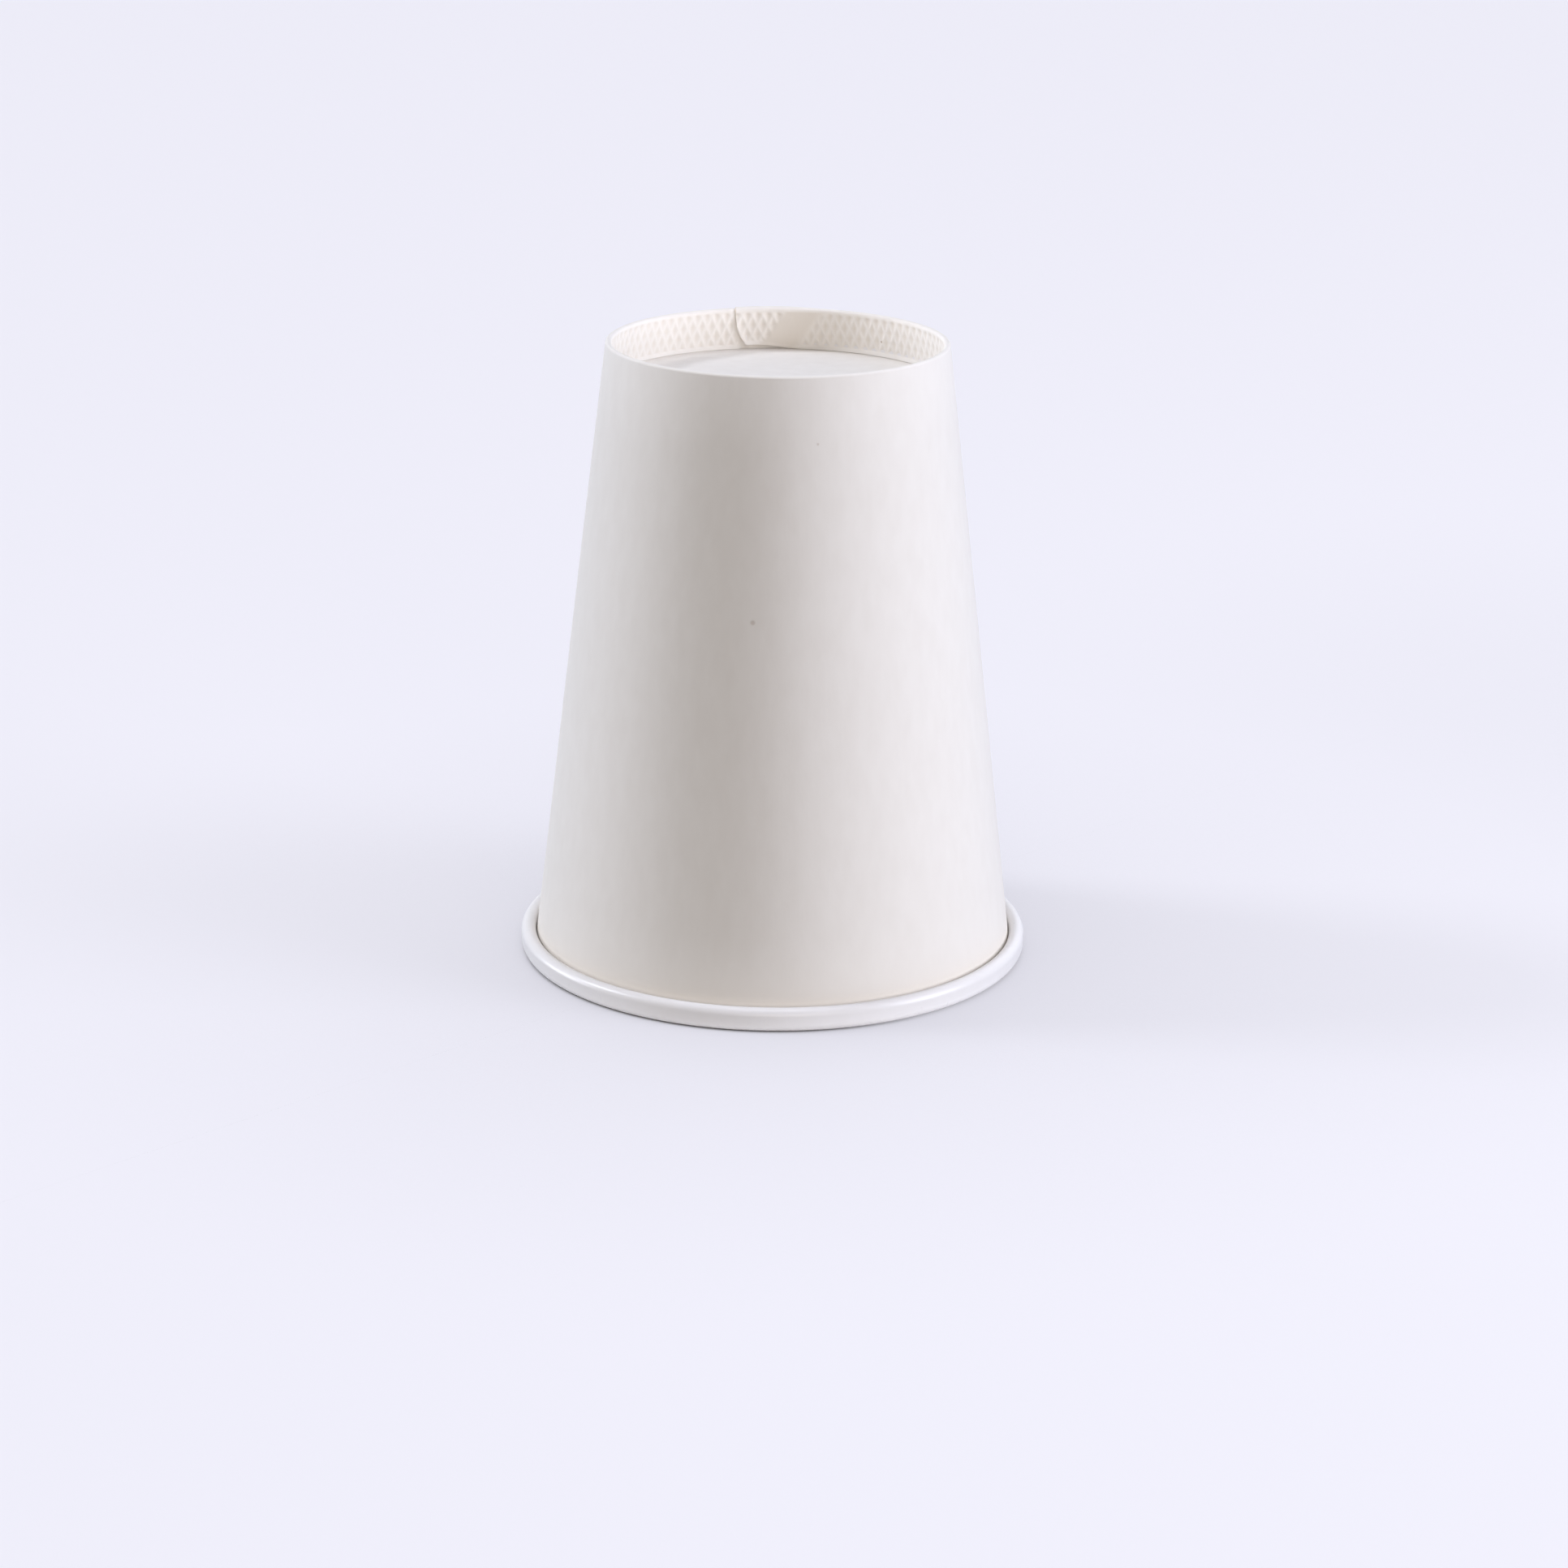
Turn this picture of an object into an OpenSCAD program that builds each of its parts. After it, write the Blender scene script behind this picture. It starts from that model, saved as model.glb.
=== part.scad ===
// Single-wall paper cup, standing upside down on its rolled rim.
// The rim bears on the plane z = 0, the folded foot is at the top and +Z is the cup's axis.
// Sections are drawn in the half plane right of the axis: x is the radius and y the height.

/* [Cup] */
// Height from the rim's bearing edge to the folded foot
cup_h = 110; // [90:0.5:130]
// Diameter over the rolled rim
rim_d = 90.4; // [84:0.1:96]
// Diameter over the folded foot
foot_d = 59.4; // [52:0.1:66]

/* [Board] */
// Thickness of the side wall's board
wall_t = 0.35; // [0.25:0.01:0.45]
// Thickness of the base's board
base_t = 0.3; // [0.2:0.01:0.4]
// Seal between two layers of board
seal_gap = 0.02; // [0.01:0.01:0.05]

/* [Rolled rim] */
// Radius of the rim's bearing turn, at the middle of the board
curl_r = 1.3; // [1.1:0.05:1.6]
// Height of the rolled rim
curl_h = 4.1; // [3.8:0.1:5]
// Crack between the rolled rim and the wall
curl_gap = 0.1; // [0.05:0.05:0.3]
// Length of the edge that is tucked down inside the roll
curl_tuck = 0.8; // [0.4:0.1:1]
// Width of the flat that the roll bears on
rim_flat = 0.4; // [0.2:0.1:0.8]

/* [Foot] */
// Depth of the base below the foot's edge
recess_h = 7.5; // [5:0.1:12]
// Radius of the base's bend into its skirt, at the middle of the board
skirt_r = 0.5; // [0.4:0.05:1]
// Room between the skirt's edge and the fold
skirt_gap = 0.3; // [0.1:0.1:1]
// Room between the hem's free edge and the base's bend
hem_gap = 0.05; // [0.05:0.05:0.5]

/* [Side seam] */
// Azimuth of the covered edge of the side seam
seam_az = 88.5; // [0:0.5:360]
// Width of the overlap
lap_w = 8.4; // [5:0.1:12]
// Step that the pressed overlap leaves at its free edge
lap_step = 0.2; // [0.1:0.01:0.25]
// Angle in which the upper layer comes down beside the overlap
lap_ramp = 15; // [8:1:25]
// Steps that stand for that slope
ramp_steps = 5; // [3:1:8]

/* [Hidden] */
$fn = 180;
board_color = "#f4f2ee";
// Most that one facet of a rounded turn bends
facet_bend = 15;

// Fold of the foot: the wall turns over the skirt with a layer of seal on either side
fold_r = (wall_t + base_t) / 2 + seal_gap;
fold_out = fold_r + wall_t / 2;
fold_c = [foot_d / 2 - fold_out, cup_h - fold_out];

// Bearing turn of the rim, with its flat on the plane z = 0
turn_out = curl_r + wall_t / 2;
flat_half = asin(rim_flat / 2 / turn_out);
turn_c = [rim_d / 2 - turn_out, turn_out * cos(flat_half)];

// Wall: the straight line that touches the fold on one side and the bearing turn on the other
span = turn_c - fold_c;
lean = atan(span.x / -span.y) - asin((curl_r + fold_r) / norm(span));
down = [sin(lean), -cos(lean)];
out = [cos(lean), sin(lean)];

// Upper turn of the rim: it comes down beside the wall, the crack away from it
over_room = curl_r * (1 + cos(lean)) + (curl_h - wall_t / 2 - turn_c.y) * sin(lean);
over_r = (over_room - wall_t - curl_gap) / (1 + cos(lean) + sin(lean));
over_c = [rim_d / 2 - wall_t / 2 - over_r, curl_h - wall_t / 2 - over_r];

// Base: a disc bent into a skirt that runs up the middle of the fold
base_z = cup_h - recess_h - base_t / 2;
bend_z = base_z + skirt_r;
bend_c = [fold_c.x + ((fold_c.y - bend_z) * sin(lean) - skirt_r) / cos(lean), bend_z];
skirt_l = (fold_c.y - bend_z) / cos(lean) + skirt_r * tan(lean) - skirt_gap;
hem_l = (fold_c.y - fold_r * sin(lean) - bend_z - hem_gap) / cos(lean);

// Sweep of the upper layer at the seam, enough to reach past the overlap's free edge
lap_sweep = asin(lap_w / (fold_c.x - 2 * fold_out));
// Sweep of one step of the slope, and of its end that runs under the next one
ramp_sweep = lap_ramp / ramp_steps;
ramp_join = ramp_sweep / 2;

// Points of a turn about a centre between two angles
function turn(center, radius, from, to) =
    let (count = ceil(abs(to - from) / facet_bend))
    [for (i = [0:count]) let (a = from + (to - from) * i / count) center + radius * [cos(a), sin(a)]];

function reversed(points) = [for (i = [len(points) - 1:-1:0]) points[i]];

// One face of the side wall's board, from the hem's free edge over the fold, down the wall and
// round the rim to the tucked edge. off is its distance from the board's middle, to the outside
// of the wall. A lifted board goes a longer way round the fold, and leaves a shorter hem.
function wall_face(off, lift) = concat(
    [fold_c - (fold_r + off) * out + (hem_l - lift * PI) * down],
    turn(fold_c, fold_r + off, lean + 180, lean),
    turn(turn_c, curl_r - off, lean + 180, 270 - flat_half),
    turn(turn_c, curl_r - off, 270 + flat_half, 360),
    turn(over_c, over_r - off, 0, lean + 180),
    [over_c - (over_r - off) * out + (curl_tuck + lift) * down]
);

// One face of the base's board, from the axis to the skirt's edge
function base_face(off) = concat(
    [[0, base_z + off]],
    turn(bend_c, skirt_r - off, -90, lean),
    [bend_c + (skirt_r - off) * out - skirt_l * down]
);

// Side wall's board. lift moves the whole board outwards on the wall, on to a layer below.
module wall_section(lift) {
    polygon(concat(
        wall_face(lift + wall_t / 2, lift),
        reversed(wall_face(lift - wall_t / 2, lift))
    ));
}

module base_section() {
    polygon(concat(base_face(base_t / 2), reversed(base_face(-base_t / 2))));
}

// One sheet wrapped once round and past its own start, with the overlap sealed
module sidewall() {
    color(board_color)
        union() {
            rotate_extrude(angle = 360 - lap_ramp + ramp_join, start = seam_az)
                wall_section(0);
            for (i = [0:ramp_steps - 1])
                rotate_extrude(angle = ramp_sweep + ramp_join, start = seam_az - lap_ramp + i * ramp_sweep)
                    wall_section(lap_step * (i + 0.5) / ramp_steps);
            intersection() {
                rotate_extrude(angle = lap_sweep, start = seam_az)
                    wall_section(lap_step);
                rotate(seam_az)
                    cube([rim_d, lap_w, cup_h + fold_out]);
            }
        }
}

// Pressed base, whose skirt is trapped between the wall and the hem
module base_disc() {
    color(board_color)
        rotate_extrude()
            base_section();
}

sidewall();
base_disc();
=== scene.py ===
# %% [markdown]
# # A paper cup, upside down on its rim
#
# This lesson dresses a paper cup whose solids were made in CAD. The real cup is two pieces of board: a
# sheet that is wrapped into a cone, and a round base that the foot of that cone grips. The solids give
# the sizes and the places. Here each piece is made again as a thin sheet of mesh, fine enough to carry
# the pressed marks of the machine, and then it gets its paper.

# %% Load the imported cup
import math

import bpy
import numpy as np
from mathutils import Matrix, Vector


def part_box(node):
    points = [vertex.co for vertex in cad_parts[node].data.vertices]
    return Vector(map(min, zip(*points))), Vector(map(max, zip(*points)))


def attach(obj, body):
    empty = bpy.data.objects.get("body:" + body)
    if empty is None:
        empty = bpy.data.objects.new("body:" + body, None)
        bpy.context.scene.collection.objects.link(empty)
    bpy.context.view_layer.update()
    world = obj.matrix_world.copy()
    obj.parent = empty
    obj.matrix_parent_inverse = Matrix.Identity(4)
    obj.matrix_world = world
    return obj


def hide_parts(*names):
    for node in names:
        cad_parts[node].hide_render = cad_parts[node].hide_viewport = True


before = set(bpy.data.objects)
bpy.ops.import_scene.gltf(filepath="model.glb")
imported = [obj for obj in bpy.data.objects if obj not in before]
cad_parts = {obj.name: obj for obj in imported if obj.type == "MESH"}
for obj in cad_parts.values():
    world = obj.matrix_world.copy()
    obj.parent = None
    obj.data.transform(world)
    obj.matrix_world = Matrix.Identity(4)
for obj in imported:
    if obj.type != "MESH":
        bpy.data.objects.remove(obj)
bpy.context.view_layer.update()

# %% [markdown]
# ## The section of the board
#
# A cup is the same all the way round, so nearly everything about its shape is in one section. The maker
# thinks of it as a path that the board takes: up the hem, over the fold of the foot, down the wall and
# round the rolled rim. The sizes below are in millimetres, the board's own scale, and are turned into
# metres only when a mesh is made. The rim's radius comes from the CAD box, so the dressed cup can't be
# wider than the solid.

# %% Sizes of the cup and its board, in millimetres
MM = 0.001
TAU = 2 * math.pi
wall_low, wall_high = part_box("sidewall")
RIM_R = min(wall_high.x, wall_high.y, -wall_low.x, -wall_low.y) / MM
CUP_H = 110.0
FOOT_R = 29.7
WALL_T = 0.35
BASE_T = 0.3
SEAL = 0.02
print("rim radius", round(RIM_R, 3), "mm, top of the CAD foot", round(wall_high.z / MM, 3), "mm")

# %% The fold of the foot, the rolled rim and the lean of the wall between them
CURL_R = 1.3
CURL_H = 4.1
CURL_GAP = 0.1
CURL_TUCK = 0.8
RIM_FLAT = 0.4

fold_r = (WALL_T + BASE_T) / 2 + SEAL
fold_out = fold_r + WALL_T / 2
fold_c = np.array([FOOT_R - fold_out, CUP_H - fold_out])
turn_out = CURL_R + WALL_T / 2
turn_c = np.array([RIM_R - turn_out, math.sqrt(turn_out**2 - (RIM_FLAT / 2) ** 2)])

span = turn_c - fold_c
lean = math.atan(span[0] / -span[1]) - math.asin((CURL_R + fold_r) / math.hypot(*span))
down = np.array([math.sin(lean), -math.cos(lean)])
out = np.array([math.cos(lean), math.sin(lean)])

over_room = CURL_R * (1 + out[0]) + (CURL_H - WALL_T / 2 - turn_c[1]) * out[1]
over_r = (over_room - WALL_T - CURL_GAP) / (1 + out[0] + out[1])
over_c = np.array([RIM_R, CURL_H]) - WALL_T / 2 - over_r
print("the wall leans", round(math.degrees(lean), 2), "degrees")

# %% The base in the foot, and the hem that ends above its bend
RECESS = 7.5
SKIRT_R = 0.5
SKIRT_GAP = 0.3
HEM_GAP = -0.26

base_z = CUP_H - RECESS - BASE_T / 2
bend_z = base_z + SKIRT_R
bend_c = np.array([fold_c[0] + ((fold_c[1] - bend_z) * out[1] - SKIRT_R) / out[0], bend_z])
skirt_l = (fold_c[1] - bend_z) / out[0] + SKIRT_R * math.tan(lean) - SKIRT_GAP
hem_l = (fold_c[1] - fold_r * out[1] - bend_z - HEM_GAP) / out[0]
print("hem", round(hem_l, 2), "mm, skirt", round(skirt_l, 2), "mm")


# %% [markdown]
# ## Stations along the path
#
# A path is a list of stations. Each has a point in the section, as radius and height, and a look, the
# way that the board's outer face faces there. A face of the board is then every point moved along its
# look by half the board. This keeps the thickness true round the tightest turn, which a mesh that is
# thickened afterwards by a modifier doesn't manage at a fold as tight as this one.

# %% Straight stretches and turns
def straight(start, end, look, count):
    share = np.linspace(0, 1, count + 1)[:, None]
    return start + share * (end - start), np.repeat([look], count + 1, axis=0)


def turn(center, radius, begin, end, look_sign, count):
    angle = np.linspace(begin, end, count + 1)
    ray = np.stack([np.cos(angle), np.sin(angle)], axis=1)
    return center + radius * ray, look_sign * ray


def join(stretches):
    points = [stretches[0][0]] + [points[1:] for points, _ in stretches[1:]]
    looks = [stretches[0][1]] + [looks[1:] for _, looks in stretches[1:]]
    return np.concatenate(points), np.concatenate(looks)


def wall_path(hem, fold, wall, curl):
    """The wall's board, from the hem's free edge to the edge tucked inside the rim."""
    half_turn = lean + math.pi
    hem_top = fold_c - fold_r * out
    tuck_top = over_c - over_r * out
    inwards = np.array([-1.0, 0.0])
    return join([
        straight(hem_top + hem_l * down, hem_top, -out, hem),
        turn(fold_c, fold_r, half_turn, lean, 1, fold),
        straight(fold_c + fold_r * out, turn_c - CURL_R * out, out, wall),
        turn(turn_c, CURL_R, half_turn, TAU, -1, curl),
        straight(turn_c - CURL_R * inwards, over_c - over_r * inwards, inwards, 1),
        turn(over_c, over_r, 0, half_turn, -1, curl),
        straight(tuck_top, tuck_top + CURL_TUCK * down, out, 1),
    ])


print("a coarse wall path has", len(wall_path(hem=2, fold=4, wall=1, curl=6)[0]), "stations")


# %% [markdown]
# ## The side seam
#
# The wall is one fan-shaped sheet. Its first edge is covered by its last one, and heat and pressure
# seal the two together, so the pair is thinner than two boards and leaves only a small step. The upper
# layer comes down beside the covered edge on a slope. At the hem the cut blank narrows, so there both
# edges run askew. A sheet that really wraps past its own start shows this by itself, which a closed
# ring with a line drawn on it can't.

# %% Edges of the sheet, and how far its layers lie from the path
SEAM_AZ = math.radians(88.5)
LAP_W = 8.4
LAP_STEP = 0.19
LAP_RAMP = math.radians(15)
COVERED_SKEW = math.radians(9.5)
FREE_SKEW = math.radians(3.6)
FREE_BEND = 3
FLAP_LIFT = 0.22
FLAP_REACH = math.radians(3)
FLAP_START = 0.3
FLAP_FULL = 1.5
PRESS_FADE = math.radians(2.4)
LAYER_GAP = 0.003
pressed_t = (WALL_T + LAP_STEP) / 2


def smooth(low, high, value):
    share = np.clip((value - low) / (high - low), 0, 1)
    return share * share * (3 - 2 * share)


def covered_edge(drop):
    return SEAM_AZ + COVERED_SKEW * drop / hem_l


def free_edge(radius, drop):
    return SEAM_AZ + np.arcsin(LAP_W / radius) - FREE_SKEW * (drop / hem_l) ** FREE_BEND


def lifted(angle, drop):
    """0 where the sheet lies on the path, 1 where it lies on its own covered edge."""
    return smooth(-LAP_RAMP, 0, angle - TAU - covered_edge(drop))


def flap(angle, radius, drop):
    """How far the free edge stands off the layer below it; it comes unstuck only on the hem."""
    near_edge = smooth(-FLAP_REACH, 0, angle - TAU - free_edge(radius, drop))
    return FLAP_LIFT * near_edge * smooth(FLAP_START, FLAP_FULL, drop)


def pressed(angle, radius, drop):
    """1 where the sheet is covered and squeezed by its own upper layer."""
    past_edge = smooth(0, PRESS_FADE, angle - free_edge(radius, drop))
    return np.where(angle < SEAM_AZ + math.pi, 1 - past_edge, 0)


print("two layers at the seam are", round(2 * pressed_t, 2), "mm thick")

# %% [markdown]
# ## The pressed foot
#
# The hem is closed by a wheel with pointed teeth, which presses staggered rows of lozenge-shaped pits
# into the board. The wheel doesn't bite where the upper layer slopes down beside the seam, and it stops
# short of the free edge, which stays smooth and leans a little away from the wall. The pits are real
# geometry here: the light in the foot is low and grazes them, and a bump map would leave their edges
# flat in the mesh itself.

# %% Pits of the closing wheel
PIT_COUNT = 96
PIT_DEPTH = 0.25
PIT_ROW = 1.86
FIRST_ROW = 0.68
FOLD_FADE = 0.5
MARGIN = 0.6
MARGIN_FADE = 0.2
STRIP_BEGIN = -1.1 * LAP_RAMP
STRIP_FULL = -0.8 * LAP_RAMP
STRIP_FADE = -0.18 * LAP_RAMP


def pits(angle, drop):
    """1 in the middle of a pit, 0 on the ridges between the lozenges."""
    across = angle * PIT_COUNT / TAU
    rows = (drop - FIRST_ROW) / PIT_ROW
    lozenge = np.stack([across + rows / 2, across - rows / 2])
    return 1 - 2 * np.abs(lozenge - np.round(lozenge)).max(axis=0)


def smooth_strip(angle, drop):
    """1 where the upper layer slopes down beside the seam and the wheel doesn't bite."""
    past_seam = angle - TAU - covered_edge(drop)
    begun = smooth(STRIP_BEGIN, STRIP_FULL, past_seam)
    return begun * (1 - smooth(STRIP_FADE, 0, past_seam))


def pit_depth(angle, radius, drop, hem_end):
    below_fold = smooth(0, FOLD_FADE, drop)
    above_margin = 1 - smooth(hem_end - MARGIN - MARGIN_FADE, hem_end - MARGIN, drop)
    uncovered = 1 - pressed(angle, radius, drop)
    bitten = 1 - smooth_strip(angle, drop)
    return PIT_DEPTH * pits(angle, drop) * below_fold * above_margin * bitten * uncovered


pit_width = TAU * (FOOT_R - 2 * fold_out) / PIT_COUNT
print("pits are", round(pit_width, 2), "mm wide in rows", PIT_ROW, "mm apart")


# %% [markdown]
# ## The wall's board as a mesh
#
# Both faces of the sheet are grids: stations down, angles across. The outer face has many stations on
# the hem, where the pits are, and few inside the roll, where nothing is seen. The inner face is the
# other way round, because it is this face that rolls out and shows on the rim. The board of a real cup
# is never quite round, so the wall also swells and sinks by a few hundredths of a millimetre. The hem
# is a little shorter where it is doubled, and at the right its edge has come loose.

# %% Angles of the columns
STEPS_PER_PIT = 8
SKEW_REACH = math.radians(32)

wrap = TAU + math.asin(LAP_W / FOOT_R)
column_count = round(wrap / TAU * PIT_COUNT * STEPS_PER_PIT)
columns = np.linspace(0, wrap, column_count + 1)


def sheet_angles(radius, drop):
    """Angle of every column at every station; only the columns near the two edges follow their skew."""
    plain = SEAM_AZ + columns
    to_covered = (covered_edge(drop) - plain[0]) * (1 - smooth(0, SKEW_REACH, columns))
    to_free = (free_edge(radius, drop) + TAU - plain[-1]) * smooth(wrap - SKEW_REACH, wrap, columns)
    return plain + to_covered + to_free


print("columns of the sheet:", len(columns))

# %% A wall that isn't quite round, and a hem with a loose edge
WOBBLE = 0.05
WOBBLE_LOW = 8.0
WOBBLE_HIGH = 98.0
WOBBLE_WAVES = (
    {"lobes": 2, "size": 1.0, "phase": 0.7, "drift": 0},
    {"lobes": 3, "size": 0.7, "phase": 2.1, "drift": 1},
    {"lobes": 7, "size": 0.4, "phase": 0.0, "drift": -2},
)
LOOSE_AZ = math.radians(52)
LOOSE_SHARPNESS = 6


def out_of_round(angle, height):
    share = np.clip((height - WOBBLE_LOW) / (WOBBLE_HIGH - WOBBLE_LOW), 0, 1)
    waves = np.zeros(angle.shape)
    for wave in WOBBLE_WAVES:
        phase = wave["phase"] + wave["drift"] * share
        waves += wave["size"] * np.sin(wave["lobes"] * angle + phase)
    return WOBBLE * np.sin(math.pi * share) * waves


def loose(angle):
    """1 in the middle of the stretch where the hem's edge has come off the base, 0 far from it."""
    return np.clip(np.cos(angle - LOOSE_AZ), 0, 1) ** LOOSE_SHARPNESS


print("the wall swells by about", WOBBLE, "mm")

# %% Places of one face of the sheet
LAP_SHORT = 0.75
FLARE = 0.2
LOOSE_FLARE = 0.24
LOOSE_RISE = 0.07
STRIP_SHADE_SHARE = 0.9


def sheet_face(path, hem, outer):
    """Points of one face of the sheet, station by station, and the share of painted pit shade at each,
    which also stands for the squeezed board's darker tone.
    """
    points, looks = path
    drop = np.zeros(len(points))
    drop[: hem + 1] = np.linspace(hem_l, 0, hem + 1)
    drop = drop[:, None]
    radius = points[:, :1]
    angle = sheet_angles(radius, drop)
    lift = lifted(angle, drop)
    covered = pressed(angle, radius, drop)
    doubled = np.maximum(lift, covered)
    hem_end = hem_l - LAP_SHORT * doubled - LOOSE_RISE * loose(angle)
    pit = np.where(drop > 0, pit_depth(angle, radius, drop * hem_end / hem_l, hem_end), 0) * outer
    strip = np.where(drop > 0, smooth_strip(angle, drop), 0) * outer
    # Painted shade in the pits and on the smooth strip, which also stands for the pressed board's darker
    # tone.
    squeezed = np.maximum(pit / PIT_DEPTH, STRIP_SHADE_SHARE * strip)
    if outer:
        offset = WALL_T / 2 + LAP_STEP * lift - (WALL_T - pressed_t) * covered
    else:
        offset = -WALL_T / 2 + (pressed_t + LAYER_GAP) * lift
    flare = (FLARE + LOOSE_FLARE * loose(angle)) * smooth(hem_l - MARGIN, hem_l, drop)
    offset += flare + flap(angle, radius, drop) - pit
    shorter = drop * (1 - hem_end / hem_l)
    place = points[:, None] + offset[..., None] * looks[:, None] - shorter[..., None] * down
    reach = place[..., 0] + out_of_round(angle, place[..., 1])
    height = np.maximum(place[..., 1], 0)
    return np.stack([reach * np.cos(angle), reach * np.sin(angle), height], axis=-1), squeezed


OUTER_HEM = 34
outer_path = wall_path(OUTER_HEM, fold=8, wall=8, curl=5)
outer_face, outer_pit_shade = sheet_face(outer_path, OUTER_HEM, True)
INNER_HEM = 3
inner_path = wall_path(INNER_HEM, fold=5, wall=8, curl=18)
inner_face, inner_pit_shade = sheet_face(inner_path, INNER_HEM, False)
print("outer face", outer_face.shape[:2], "inner face", inner_face.shape[:2])


# %% Join the two faces along the cut edges of the sheet
def vertex_grid(face, first):
    """Numbers of a face's vertices, station by station, counted from the first."""
    stations, across = face.shape[:2]
    return first + np.arange(stations * across).reshape(stations, across)


def grid_quads(index):
    corners = [index[:-1, :-1], index[1:, :-1], index[1:, 1:], index[:-1, 1:]]
    return np.stack(corners, axis=-1).reshape(-1, 4)


def path_shares(path):
    steps = np.linalg.norm(np.diff(path[0], axis=0), axis=1)
    return np.concatenate([[0], np.cumsum(steps)]) / steps.sum()


def zip_edges(first, first_share, second, second_share):
    """Triangles between two rows of vertices that run side by side, each with its own spacing."""
    faces = []
    i = 0
    k = 0
    while i < len(first) - 1 or k < len(second) - 1:
        first_next = first_share[i + 1] if i < len(first) - 1 else math.inf
        second_next = second_share[k + 1] if k < len(second) - 1 else math.inf
        if first_next <= second_next:
            faces.append((first[i], first[i + 1], second[k]))
            i += 1
        else:
            faces.append((first[i], second[k + 1], second[k]))
            k += 1
    return faces


outer_index = vertex_grid(outer_face, 0)
inner_index = vertex_grid(inner_face, outer_index.size)
outer_quads = grid_quads(outer_index).tolist()
inner_quads = grid_quads(inner_index)[:, ::-1].tolist()
cut_quads = grid_quads(np.stack([inner_index[0], outer_index[0]])).tolist()
cut_quads += grid_quads(np.stack([outer_index[-1], inner_index[-1]])).tolist()
for column, step in ((0, -1), (-1, 1)):
    zipped = zip_edges(outer_index[:, column], path_shares(outer_path),
                       inner_index[:, column], path_shares(inner_path))
    cut_quads += [face[::step] for face in zipped]
print("faces:", len(outer_quads), "outer,", len(inner_quads), "inner,", len(cut_quads), "on the cut edges")

# %% [markdown]
# ## The pressed base
#
# The base is a round blank that a punch has pressed into a shallow dish, with its margin turned up into
# a skirt. In the upturned cup the skirt runs up between the wall and the hem and is never seen, and the
# disc lies sunk in the foot. The press leaves the disc very slightly hollow. It is a full ring of
# columns round one point.

# %% The base's board as a mesh
BASE_COLUMNS = 240
BASE_HOLLOW = 0.12
FIRST_RING = 1.0


def base_path(disc, bend, skirt):
    up = np.array([0.0, 1.0])
    skirt_low = bend_c + SKIRT_R * out
    return join([
        straight(np.array([FIRST_RING, base_z]), np.array([bend_c[0], base_z]), up, disc),
        turn(bend_c, SKIRT_R, -math.pi / 2, lean, -1, bend),
        straight(skirt_low, skirt_low - skirt_l * down, -out, skirt),
    ])


def base_face(offset):
    points, looks = base_path(disc=16, bend=8, skirt=3)
    place = points + offset * looks
    hollow = BASE_HOLLOW * (1 - np.clip(points[:, 0] / bend_c[0], 0, 1) ** 2)
    angle = np.linspace(0, TAU, BASE_COLUMNS, endpoint=False)
    ring = np.stack([np.cos(angle), np.sin(angle)], axis=-1)
    flat = place[:, None, :1] * ring
    height = np.broadcast_to((place[:, 1] - hollow)[:, None, None], flat.shape[:2] + (1,))
    return np.concatenate([flat, height], axis=-1)


base_top = base_face(BASE_T / 2)
base_under = base_face(-BASE_T / 2)
top_index = vertex_grid(base_top, 0)
under_index = vertex_grid(base_under, top_index.size)
top_middle = 2 * top_index.size
under_middle = top_middle + 1
top_ring = np.column_stack([top_index, top_index[:, 0]])
under_ring = np.column_stack([under_index, under_index[:, 0]])
top_faces = grid_quads(top_ring).tolist()
top_faces += [(top_middle, a, b) for a, b in zip(top_ring[0], top_ring[0, 1:])]
under_faces = grid_quads(under_ring)[:, ::-1].tolist()
under_faces += [(under_middle, b, a) for a, b in zip(under_ring[0], under_ring[0, 1:])]
skirt_edge = grid_quads(np.stack([top_ring[-1], under_ring[-1]])).tolist()
middles = [[0, 0, base_z - BASE_HOLLOW + BASE_T / 2], [0, 0, base_z - BASE_HOLLOW - BASE_T / 2]]
print("base faces:", len(top_faces) + len(under_faces) + len(skirt_edge))


# %% [markdown]
# ## From lists to pieces
#
# A mesh is made from its points and faces in one call. Faces are kept in three groups, the outer face,
# the inner face and the cut edges, and each group gets its own paper. Smooth shading is cut at the
# sharp corners of the board, so that a cut edge looks cut and the rolled rim looks round.

# %% A function that makes one piece of board
SHARP_CORNER = math.radians(50)


def board_piece(name, points, face_groups, papers):
    mesh = bpy.data.meshes.new(name)
    mesh.from_pydata((points * MM).tolist(), [], [face for group in face_groups for face in group])
    groups = np.repeat(np.arange(len(face_groups)), [len(group) for group in face_groups])
    mesh.polygons.foreach_set("material_index", groups)
    for paper in papers:
        mesh.materials.append(paper)
    mesh.shade_smooth()
    mesh.set_sharp_from_angle(angle=SHARP_CORNER)
    mesh.update()
    piece = bpy.data.objects.new(name, mesh)
    bpy.context.collection.objects.link(piece)
    mesh.calc_loop_triangles()
    print(name, "has", len(mesh.loop_triangles), "triangles")
    return piece


# %% [markdown]
# ## Paper
#
# White board is pressed from short fibres, so it is a little cloudy, a little rough and never one even
# white. Three kinds are seen: the bare outer face, the inner face with its thin sealing film, and the
# raw cut edge. All three share one node group that makes the cloudiness and the fine grain from noise,
# drawn out along the wall as the fibres lie. Each paper sets the group to its own strength.

# %% Helpers that make and link nodes
def add_node(tree, kind, **settings):
    node = tree.nodes.new(kind)
    for setting, value in settings.items():
        setattr(node, setting, value)
    return node


def feed(tree, value, socket):
    """Gives a socket a plain number, or links it to another node's output."""
    if isinstance(value, (int, float)):
        socket.default_value = value
    else:
        tree.links.new(value, socket)


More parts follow.
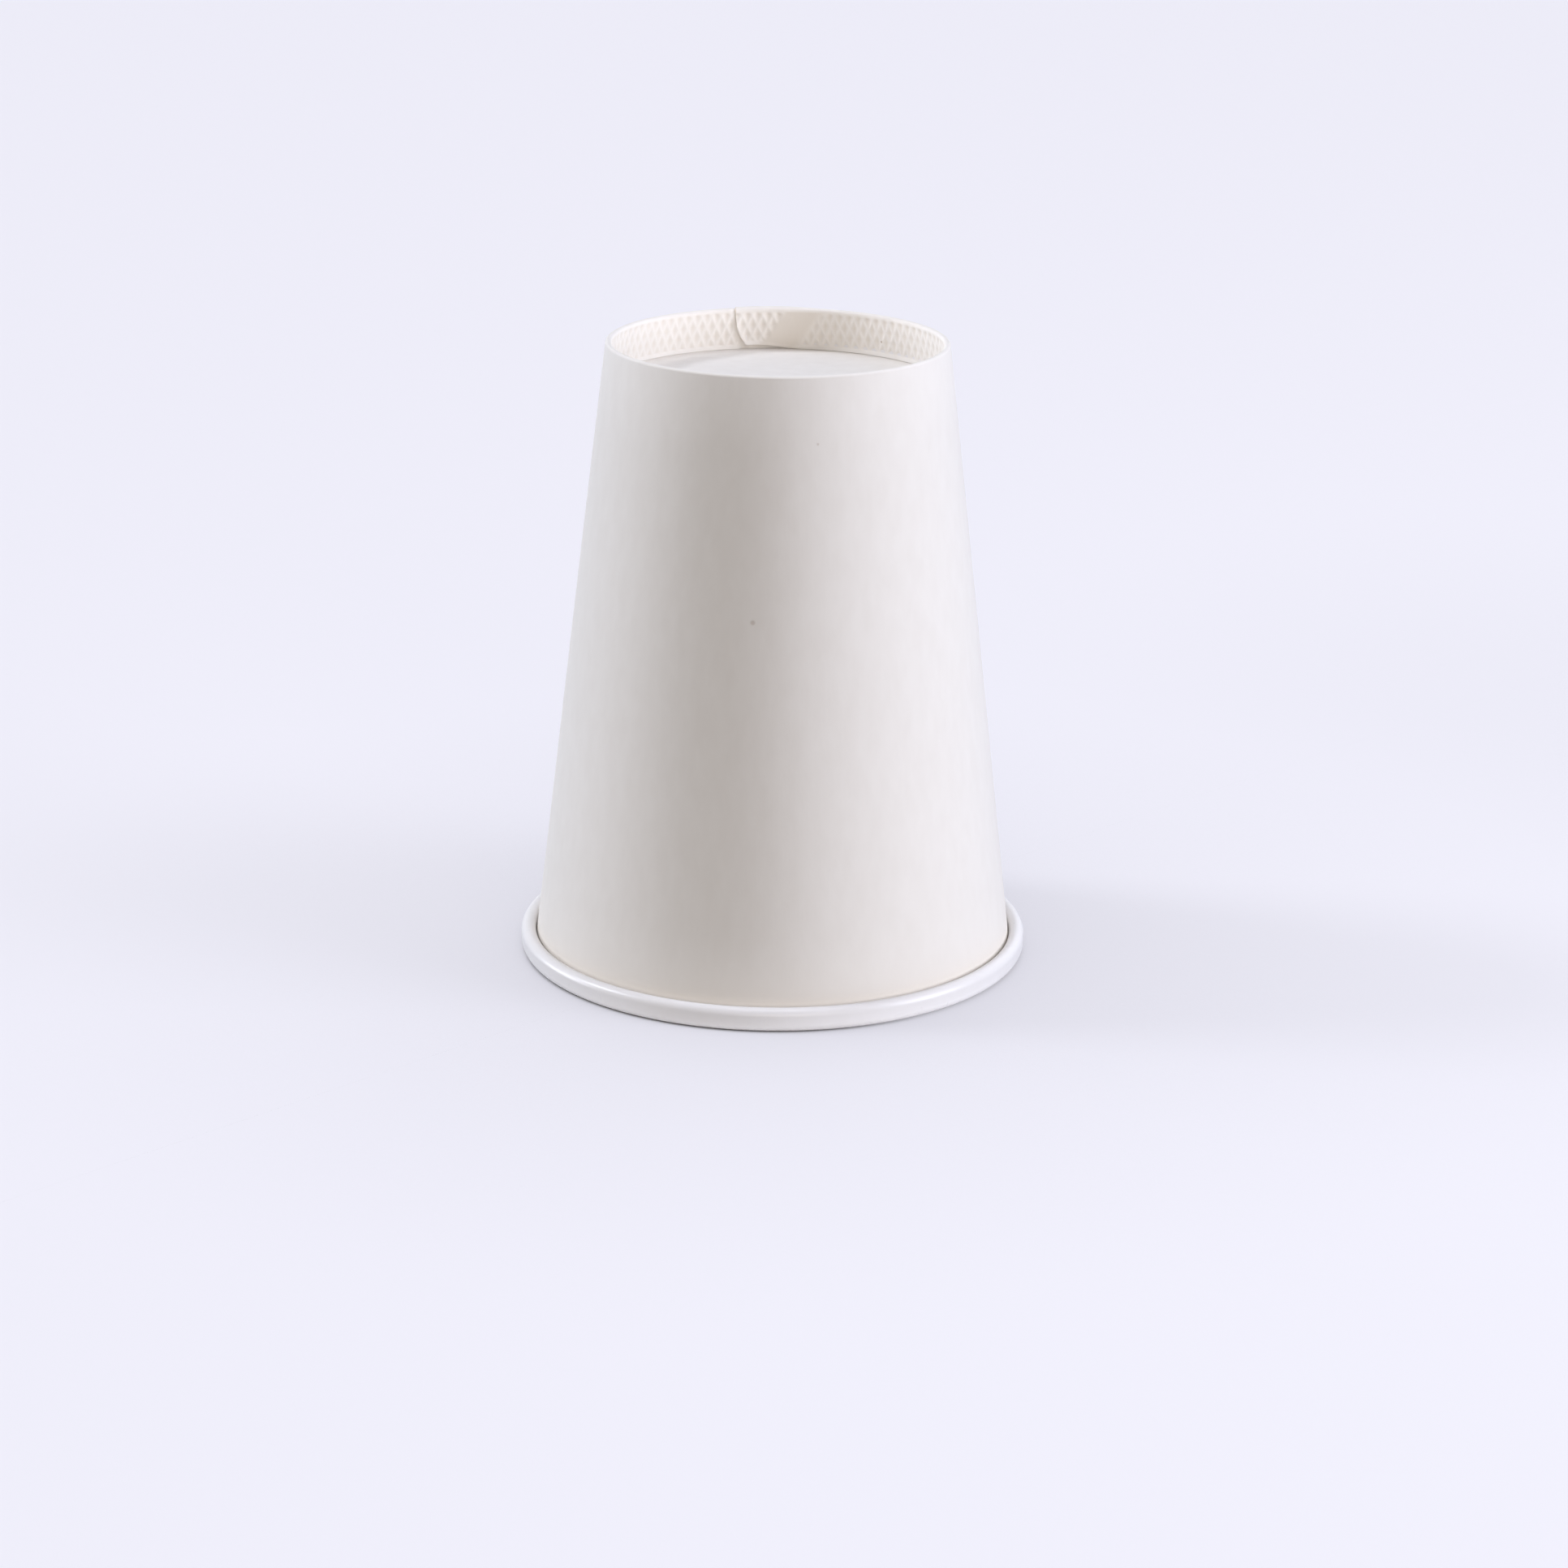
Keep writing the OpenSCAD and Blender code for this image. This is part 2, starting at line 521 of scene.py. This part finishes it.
def calculate(tree, operation, *values, **settings):
    """One sum or product; each value is a number or another node's output."""
    node = add_node(tree, "ShaderNodeMath", operation=operation, **settings)
    for value, socket in zip(values, node.inputs):
        feed(tree, value, socket)
    return node.outputs[0]


def ramp(tree, value, begin, end, low=0, high=1, curve="SMOOTHSTEP"):
    """Low where the value is at begin, high where it is at end, and level beyond them."""
    node = add_node(tree, "ShaderNodeMapRange", interpolation_type=curve)
    node.inputs["From Min"].default_value = begin
    node.inputs["From Max"].default_value = end
    node.inputs["To Min"].default_value = low
    node.inputs["To Max"].default_value = high
    tree.links.new(value, node.inputs["Value"])
    return node.outputs["Result"]


print("node helpers:", [helper.__name__ for helper in (add_node, feed, calculate, ramp)])

# %% A node group for the fibres of the board
FIBRE_STRETCH = (1, 1, 0.42)
CLOUD_SCALE = 420
CLOUD_DETAIL = 3
CLOUD_LOW = 0.3
CLOUD_HIGH = 0.7
CLOUD_RELIEF = 0.8
GRAIN_SCALE = 1500
GRAIN_DETAIL = 4
GRAIN_SHINE = -0.12


def fibre_noise(tree, vector, scale, detail):
    noise = add_node(tree, "ShaderNodeTexNoise")
    noise.inputs["Scale"].default_value = scale
    noise.inputs["Detail"].default_value = detail
    tree.links.new(vector, noise.inputs["Vector"])
    return noise.outputs["Fac"]


def make_fibres():
    tree = bpy.data.node_groups.new("board fibres", "ShaderNodeTree")
    for name, kind in (("Paper", "NodeSocketColor"), ("Fibre", "NodeSocketColor"),
                       ("Cloudiness", "NodeSocketFloat"), ("Roughness", "NodeSocketFloat")):
        tree.interface.new_socket(name, in_out="INPUT", socket_type=kind)
    for name, kind in (("Color", "NodeSocketColor"), ("Roughness", "NodeSocketFloat"),
                       ("Height", "NodeSocketFloat")):
        tree.interface.new_socket(name, in_out="OUTPUT", socket_type=kind)
    given = add_node(tree, "NodeGroupInput")
    result = add_node(tree, "NodeGroupOutput")
    place = add_node(tree, "ShaderNodeTexCoord")
    along = add_node(tree, "ShaderNodeMapping")
    along.inputs["Scale"].default_value = FIBRE_STRETCH
    tree.links.new(place.outputs["Object"], along.inputs["Vector"])
    cloud = fibre_noise(tree, along.outputs["Vector"], CLOUD_SCALE, CLOUD_DETAIL)
    grain = fibre_noise(tree, along.outputs["Vector"], GRAIN_SCALE, GRAIN_DETAIL)

    cloudy = ramp(tree, cloud, CLOUD_LOW, CLOUD_HIGH, curve="LINEAR")
    amount = calculate(tree, "MULTIPLY", cloudy, given.outputs["Cloudiness"])
    tone = add_node(tree, "ShaderNodeMix", data_type="RGBA")
    tree.links.new(amount, tone.inputs["Factor"])
    tree.links.new(given.outputs["Paper"], tone.inputs["A"])
    tree.links.new(given.outputs["Fibre"], tone.inputs["B"])
    tree.links.new(tone.outputs["Result"], result.inputs["Color"])

    shine = calculate(tree, "MULTIPLY_ADD", grain, GRAIN_SHINE, given.outputs["Roughness"])
    tree.links.new(shine, result.inputs["Roughness"])
    relief = calculate(tree, "MULTIPLY_ADD", cloud, CLOUD_RELIEF, grain)
    tree.links.new(relief, result.inputs["Height"])
    return tree


fibres = make_fibres()
print("node group", fibres.name, "with", len(fibres.nodes), "nodes")


# %% A function that makes one paper from the fibres
def make_paper(name, paper, fibre, cloudiness, roughness, grain_depth, gloss):
    material = bpy.data.materials.new(name)
    material.use_nodes = True
    tree = material.node_tree
    shader = tree.nodes["Principled BSDF"]
    shader.inputs["Specular IOR Level"].default_value = gloss
    board = add_node(tree, "ShaderNodeGroup", node_tree=fibres)
    board.inputs["Paper"].default_value = (*paper, 1)
    board.inputs["Fibre"].default_value = (*fibre, 1)
    board.inputs["Cloudiness"].default_value = cloudiness
    board.inputs["Roughness"].default_value = roughness
    bump = add_node(tree, "ShaderNodeBump")
    bump.inputs["Distance"].default_value = grain_depth * MM
    tree.links.new(board.outputs["Height"], bump.inputs["Height"])
    tree.links.new(bump.outputs["Normal"], shader.inputs["Normal"])
    tree.links.new(board.outputs["Color"], shader.inputs["Base Color"])
    tree.links.new(board.outputs["Roughness"], shader.inputs["Roughness"])
    return material


print("a paper has a white, a fibre tone, a cloudiness, a roughness, a grain and a gloss")

# %% The papers of the cup
BARE = {"paper": (0.85, 0.817, 0.77), "fibre": (0.81, 0.773, 0.723), "cloudiness": 0.6,
        "roughness": 0.85, "grain_depth": 0.014, "gloss": 0.25}
SEALED = {"paper": (0.775, 0.757, 0.748), "fibre": (0.755, 0.735, 0.72), "cloudiness": 0.4,
          "roughness": 0.36, "grain_depth": 0.0015, "gloss": 0.38}
CUT = {"paper": (0.84, 0.73, 0.61), "fibre": (0.76, 0.64, 0.51), "cloudiness": 1.0,
       "roughness": 0.92, "grain_depth": 0.03, "gloss": 0.15}
bare_board = make_paper("bare board", **BARE)
base_board = make_paper("base board", **BARE)
sealed_board = make_paper("sealed board", **SEALED)
cut_board = make_paper("cut board", **CUT)
print("papers:", [paper.name for paper in (bare_board, base_board, sealed_board, cut_board)])

# %% [markdown]
# ## Specks
#
# Cheap board has a dark fibre here and there. One lies in the hem, at the right, and two faint ones on
# the front of the wall. A speck is the space round one point: the distance to it, turned into a soft
# mask that lets the darker colour through. They sit in the bare board's own nodes, since no other paper
# has them.

# %% Dark fibres in the bare board
SPECKS = (
    {"azimuth": 51.0, "radius": 29.17, "height": 105.2, "size": 0.28, "depth": 1.0},
    {"azimuth": -77.4, "radius": 30.95, "height": 98.8, "size": 0.32, "depth": 0.3},
    {"azimuth": -96.3, "radius": 34.5, "height": 69.2, "size": 0.6, "depth": 0.34},
)
SPECK_CORE = 0.3
SPECK_BROWN = (0.36, 0.25, 0.17)


def distance_to(tree, place, point):
    away = add_node(tree, "ShaderNodeVectorMath", operation="DISTANCE")
    away.inputs[1].default_value = point
    tree.links.new(place, away.inputs[0])
    return away.outputs["Value"]


def tint_paper(material, amount, tone):
    """Lays a tone over the colour that a paper has so far; the amount is another node's output."""
    tree = material.node_tree
    base_color = tree.nodes["Principled BSDF"].inputs["Base Color"]
    mix = add_node(tree, "ShaderNodeMix", data_type="RGBA")
    mix.inputs["B"].default_value = (*tone, 1)
    tree.links.new(amount, mix.inputs["Factor"])
    tree.links.new(base_color.links[0].from_socket, mix.inputs["A"])
    tree.links.new(mix.outputs["Result"], base_color)


def add_speck(material, azimuth, radius, height, size, depth):
    tree = material.node_tree
    place = add_node(tree, "ShaderNodeTexCoord").outputs["Object"]
    turned = math.radians(azimuth)
    middle = Vector((radius * math.cos(turned), radius * math.sin(turned), height)) * MM
    away = distance_to(tree, place, middle)
    tint_paper(material, ramp(tree, away, size * MM, SPECK_CORE * size * MM, high=depth), SPECK_BROWN)


for speck in SPECKS:
    add_speck(bare_board, **speck)
print(len(SPECKS), "specks in the", bare_board.name)

# %% [markdown]
# ## Painted shade in the pits
#
# Where the wheel has pressed a pit the fibres lie closer and the board is a little darker, and the pits
# also get painted shade. So it is on the smooth strip beside the seam, which gets painted shade too. The
# mesh carries this share of pressed tone and painted shade as an attribute, a number for each vertex,
# and the paper reads it by its name.

# %% Painted shade in the pits, with the pressed board's darker tone
PIT_SHADE_TONE = (0.75, 0.7, 0.63)
PIT_SHADE_MARK = "pit"

# The bare board is darkened by the pit mark: partly the pressed board's own tone, partly painted shade in
# the pits and on the strip.
squeeze = add_node(bare_board.node_tree, "ShaderNodeAttribute", attribute_name=PIT_SHADE_MARK)
tint_paper(bare_board, squeeze.outputs["Fac"], PIT_SHADE_TONE)
print("the", bare_board.name, "is darker by its", PIT_SHADE_MARK, "mark")

# %% [markdown]
# ## The crack above the rim
#
# Where the wall goes down behind the rolled rim, light passes from board to board and comes out warmer
# and weaker than it went in. Bounced light alone leaves this strip too white, so the bare board gets a
# cream tone there. Its strength is a length divided by the height above the crack, so that it falls
# fast at first and then slowly.

# %% A cream tone at the foot of the wall
CRACK_TONE = (0.71, 0.665, 0.6)
CRACK_FOOT = 2.0
CRACK_REACH = 2.5


def add_crack_tone(material):
    tree = material.node_tree
    place = add_node(tree, "ShaderNodeTexCoord")
    split = add_node(tree, "ShaderNodeSeparateXYZ")
    tree.links.new(place.outputs["Object"], split.inputs["Vector"])
    height = calculate(tree, "SUBTRACT", split.outputs["Z"], CRACK_FOOT * MM)
    amount = calculate(tree, "DIVIDE", CRACK_REACH * MM, height, use_clamp=True)
    tint_paper(material, amount, CRACK_TONE)


add_crack_tone(bare_board)
print("the", bare_board.name, "is creamier near the rim")

# %% [markdown]
# ## The two pieces of the cup
#
# Each piece stands for one CAD node, which is then hidden. Neither moves, so both ride on the cup's
# only body.

# %% Make the wall and the base and set them on the frame
wall_points = np.concatenate([outer_face.reshape(-1, 3), inner_face.reshape(-1, 3)])
folded_wall = board_piece("folded_wall", wall_points, [outer_quads, inner_quads, cut_quads],
                          [bare_board, sealed_board, cut_board])
# The mesh keeps the painted pit shade, partly pressed board tone, for the bare board to read.
mark = folded_wall.data.attributes.new(PIT_SHADE_MARK, "FLOAT", "POINT")
mark.data.foreach_set("value", np.concatenate([outer_pit_shade.ravel(), inner_pit_shade.ravel()]))
base_points = np.concatenate([base_top.reshape(-1, 3), base_under.reshape(-1, 3), middles])
pressed_base = board_piece("pressed_base", base_points, [top_faces, under_faces, skirt_edge],
                           [base_board, sealed_board, cut_board])
for piece, node, slot in ((folded_wall, "sidewall", "wall_board"),
                          (pressed_base, "base_disc", "base_board")):
    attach(piece, "root")
    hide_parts(node)

# %% [markdown]
# ## The table
#
# The cup stands on a plain white table top that fills the whole picture. A white table under these
# lamps would throw so much light back that the cup lost its shading. So its paint keeps two things
# apart: what is seen of the table, and what light it gives back. The Light Path node tells the two
# kinds of ray from each other.

# %% A large table top, and a test for what is seen
TABLE_SIZE = 30.0
half = TABLE_SIZE / 2
table_corners = [(-half, -half, 0), (half, -half, 0), (half, half, 0), (-half, half, 0)]
table_mesh = bpy.data.meshes.new("table_top")
table_mesh.from_pydata(table_corners, [], [(0, 1, 2, 3)])
table_top = bpy.data.objects.new("table_top", table_mesh)
bpy.context.collection.objects.link(table_top)


def seen_directly(tree):
    """1 for what the camera sees, straight or in a reflection, and 0 for light that bounces."""
    path = add_node(tree, "ShaderNodeLightPath")
    seen = path.outputs["Is Camera Ray"]
    for kind in ("Is Glossy Ray", "Is Transmission Ray"):
        seen = calculate(tree, "MAXIMUM", seen, path.outputs[kind])
    return seen


print("table top", TABLE_SIZE, "m wide")

# %% [markdown]
# ## What is seen of the table
#
# Most of what is seen is an even pale glow, and a smaller share is plain paint that takes the cup's
# shadows. The Ambient Occlusion node says how open the sky is over each place, from 0 to 1. With it the
# glow gets painted shadow: soft round the cup, and closed in the nook under the rim, which leaves a thin
# painted dark line. At the right the low lamp shines into the nook, so there the painted line fades. A
# soft patch behind the cup at the right gets a little painted shade as well, since the lamps of that
# side make the paint there too bright.

# %% How strong the table's glow is at each place
NOOK_REACH = 0.12
NOOK_SAMPLES = 8
NOOK_LIGHT = 0.4
NOOK_DARK = 0.05
NOOK_OPEN = 0.5
NOOK_LIT_FROM = 0.002
NOOK_LIT_TO = 0.03
CORNER_PLACE = (0.2, 0.14, 0)
CORNER_REACH = 0.2
CORNER_DIM = 0.94


# The glow's strength carries painted shadow: soft round the cup, a dark line in the nook under the rim, and
# a dimmer patch behind it at the right.
def glow_strength(tree, place):
    nook = add_node(tree, "ShaderNodeAmbientOcclusion", samples=NOOK_SAMPLES)
    nook.inputs["Distance"].default_value = NOOK_REACH
    dimmed = ramp(tree, nook.outputs["AO"], 0, 1, low=NOOK_LIGHT, curve="LINEAR")
    closed = ramp(tree, nook.outputs["AO"], NOOK_DARK, NOOK_OPEN)
    aside = add_node(tree, "ShaderNodeSeparateXYZ")
    tree.links.new(place, aside.inputs["Vector"])
    reached = ramp(tree, aside.outputs["X"], NOOK_LIT_FROM, NOOK_LIT_TO)
    opened = calculate(tree, "MAXIMUM", closed, reached)
    from_corner = distance_to(tree, place, CORNER_PLACE)
    corner = ramp(tree, from_corner, CORNER_REACH, 0, low=1, high=CORNER_DIM)
    return calculate(tree, "MULTIPLY", calculate(tree, "MULTIPLY", dimmed, opened), corner)


print("the nook under the rim is closed below", NOOK_DARK, "of open sky")

# %% Paint that is seen: an even glow with a share of plain paint
PALE = (0.855, 0.85, 0.95)
PALE_PAINT = (0.945, 0.915, 0.905)
SHADOW_SHARE = 0.2


def mix_shaders(tree, amount, first, second):
    """The first shader where the amount is 0, the second where it is 1."""
    mix = add_node(tree, "ShaderNodeMixShader")
    feed(tree, amount, mix.inputs["Fac"])
    tree.links.new(first, mix.inputs[1])
    tree.links.new(second, mix.inputs[2])
    return mix.outputs[0]


table_paint = bpy.data.materials.new("table paint")
table_paint.use_nodes = True
table_tree = table_paint.node_tree
table_tree.nodes.remove(table_tree.nodes["Principled BSDF"])
table_place = add_node(table_tree, "ShaderNodeNewGeometry").outputs["Position"]
lit = add_node(table_tree, "ShaderNodeBsdfDiffuse")
lit.inputs["Color"].default_value = (*PALE_PAINT, 1)
even = add_node(table_tree, "ShaderNodeEmission")
even.inputs["Color"].default_value = (*PALE, 1)
table_tree.links.new(glow_strength(table_tree, table_place), even.inputs["Strength"])
seen_paint = mix_shaders(table_tree, SHADOW_SHARE, even.outputs[0], lit.outputs[0])
print("a share of", SHADOW_SHARE, "takes the shadows")

# %% [markdown]
# ## What light the table gives back
#
# The table lights the cup from below, but weakly, and only from near by. The weak part is an oval that
# is narrow from side to side. Just outside the rim lies a ring that gives back much more: it lights the
# underside of the roll, which would be dark without it.

# %% Paint that bounces, and both paints on the table
BOUNCE = 0.11
BOUNCE_NEAR = 0.16
BOUNCE_FAR = 0.32
SIDE_SQUEEZE = 3.2
RING_BOUNCE = 0.82
RING_SQUEEZE = 1.09
RING_NEAR = 0.048
RING_FAR = 0.052


def fading(tree, place, squeeze, near, far, strength):
    """A strength that holds near the cup's axis and fades away from it."""
    squeezed = add_node(tree, "ShaderNodeVectorMath", operation="MULTIPLY")
    squeezed.inputs[1].default_value = (squeeze, 1, 1)
    tree.links.new(place, squeezed.inputs[0])
    from_cup = distance_to(tree, squeezed.outputs["Vector"], (0, 0, 0))
    return ramp(tree, from_cup, far, near, high=strength)


oval = fading(table_tree, table_place, SIDE_SQUEEZE, BOUNCE_NEAR, BOUNCE_FAR, BOUNCE)
ring = fading(table_tree, table_place, RING_SQUEEZE, RING_NEAR, RING_FAR, RING_BOUNCE)
bouncing = add_node(table_tree, "ShaderNodeBsdfDiffuse")
table_tree.links.new(calculate(table_tree, "MAXIMUM", oval, ring), bouncing.inputs["Color"])
table_look = mix_shaders(table_tree, seen_directly(table_tree), bouncing.outputs[0], seen_paint)
table_tree.links.new(table_look, table_tree.nodes["Material Output"].inputs["Surface"])
table_mesh.materials.append(table_paint)
print("the table gives back", BOUNCE, "near the cup and", RING_BOUNCE, "in the ring")

# %% [markdown]
# ## The camera
#
# The camera is a long lens a little above the cup. Its place and its three turns were found by matching
# the rim, the foot and the two sides of the wall to the picture, so they are written as they were
# found.

# %% A long lens
PICTURE_PX = 1932
FOCAL_PX = 4749.86
SENSOR = 36.0
CAMERA_PLACE = Vector((0.0, -0.6534, 0.243974))
PITCH = 0.316833
YAW = 0.00276
ROLL = 0.010222

forward = Vector((math.sin(YAW) * math.cos(PITCH), math.cos(YAW) * math.cos(PITCH), -math.sin(PITCH)))
level = Vector((math.cos(YAW), -math.sin(YAW), 0))
upright = level.cross(forward)
right = math.cos(ROLL) * level + math.sin(ROLL) * upright
above = math.cos(ROLL) * upright - math.sin(ROLL) * level

lens = bpy.data.cameras.new("long lens")
lens.sensor_width = SENSOR
lens.sensor_fit = "HORIZONTAL"
lens.lens = SENSOR * FOCAL_PX / PICTURE_PX
camera = bpy.data.objects.new("camera", lens)
turned = Matrix((right, above, -forward)).transposed().to_4x4()
camera.matrix_world = Matrix.Translation(CAMERA_PLACE) @ turned
bpy.context.collection.objects.link(camera)
bpy.context.scene.camera = camera
print("lens", round(lens.lens, 2), "mm")


# %% [markdown]
# ## Light
#
# The light is that of a small white studio: two lamps on either side, one low and one high, a warm one
# in front, a faint one behind and a soft top. Lamps of Blender's sun kind with a wide disc do for
# softboxes that stand far off, and they light the table evenly to its edge. One lamp stands near, at
# the right: its light weakens across the cup, so the inside of the foot at the left is greyer than the
# wall at the right. The two sides of the wall have slightly different tints, and so do their lamps.
# Azimuth 0 is the camera's side, and angles grow to the right of the picture.

# %% Far and near lamps
def lamp_holder(name, kind, azimuth, elevation, tint):
    """A lamp turned to the cup, and the direction in which it stands."""
    lamp = bpy.data.lights.new(name, kind)
    lamp.color = tint
    holder = bpy.data.objects.new(name, lamp)
    turn_z = math.radians(azimuth)
    tilt = math.radians(elevation)
    toward = Vector((math.sin(turn_z) * math.cos(tilt), -math.cos(turn_z) * math.cos(tilt), math.sin(tilt)))
    holder.rotation_euler = toward.to_track_quat("Z", "Y").to_euler()
    bpy.context.collection.objects.link(holder)
    return holder, toward


def far_lamp(name, azimuth, elevation, spread, strength, tint):
    holder, _ = lamp_holder(name, "SUN", azimuth, elevation, tint)
    holder.data.energy = strength
    holder.data.angle = math.radians(spread)


def near_lamp(name, azimuth, elevation, distance, size, power, tint):
    holder, toward = lamp_holder(name, "AREA", azimuth, elevation, tint)
    holder.location = toward * distance + Vector((0, 0, CUP_H / 2 * MM))
    holder.visible_camera = False
    holder.data.shape = "DISK"
    holder.data.size = size
    holder.data.energy = power


print("lamps are turned to the cup, whose middle is", CUP_H / 2, "mm above the table")

# %% The seven lamps
COOL = (0.85, 0.885, 1.0)
LEFT_COOL = (0.853, 0.885, 0.985)
RIGHT_COOL = (0.826, 0.86, 1.0)
WARM = (0.98, 0.905, 0.85)
far_lamp("left lamp, low", azimuth=-106, elevation=10, spread=30, strength=2.04, tint=LEFT_COOL)
far_lamp("left lamp, high", azimuth=-98, elevation=40, spread=14, strength=1.52, tint=LEFT_COOL)
near_lamp("right lamp, low", azimuth=73, elevation=12.5, distance=0.85, size=0.45, power=5.5,
          tint=RIGHT_COOL)
far_lamp("right lamp, high", azimuth=76, elevation=40, spread=30, strength=0.82, tint=RIGHT_COOL)
far_lamp("back lamp", azimuth=150, elevation=30, spread=40, strength=0.27, tint=COOL)
far_lamp("front lamp", azimuth=8, elevation=15, spread=40, strength=1.32, tint=WARM)
far_lamp("top lamp", azimuth=180, elevation=80, spread=20, strength=0.78, tint=COOL)
print("lamps:", sorted(light.name for light in bpy.data.lights))

# %% The room, which is pale where it is seen and gives no light
ROOM_SEEN = 0.9
room = bpy.data.worlds.new("room")
bpy.context.scene.world = room
room.use_nodes = True
room_tree = room.node_tree
glow = room_tree.nodes["Background"]
glow.inputs["Color"].default_value = (1, 1, 1, 1)
seen_glow = calculate(room_tree, "MULTIPLY", seen_directly(room_tree), ROOM_SEEN)
room_tree.links.new(seen_glow, glow.inputs["Strength"])
bpy.context.scene.view_settings.view_transform = "Standard"
print("the room is seen at", ROOM_SEEN)
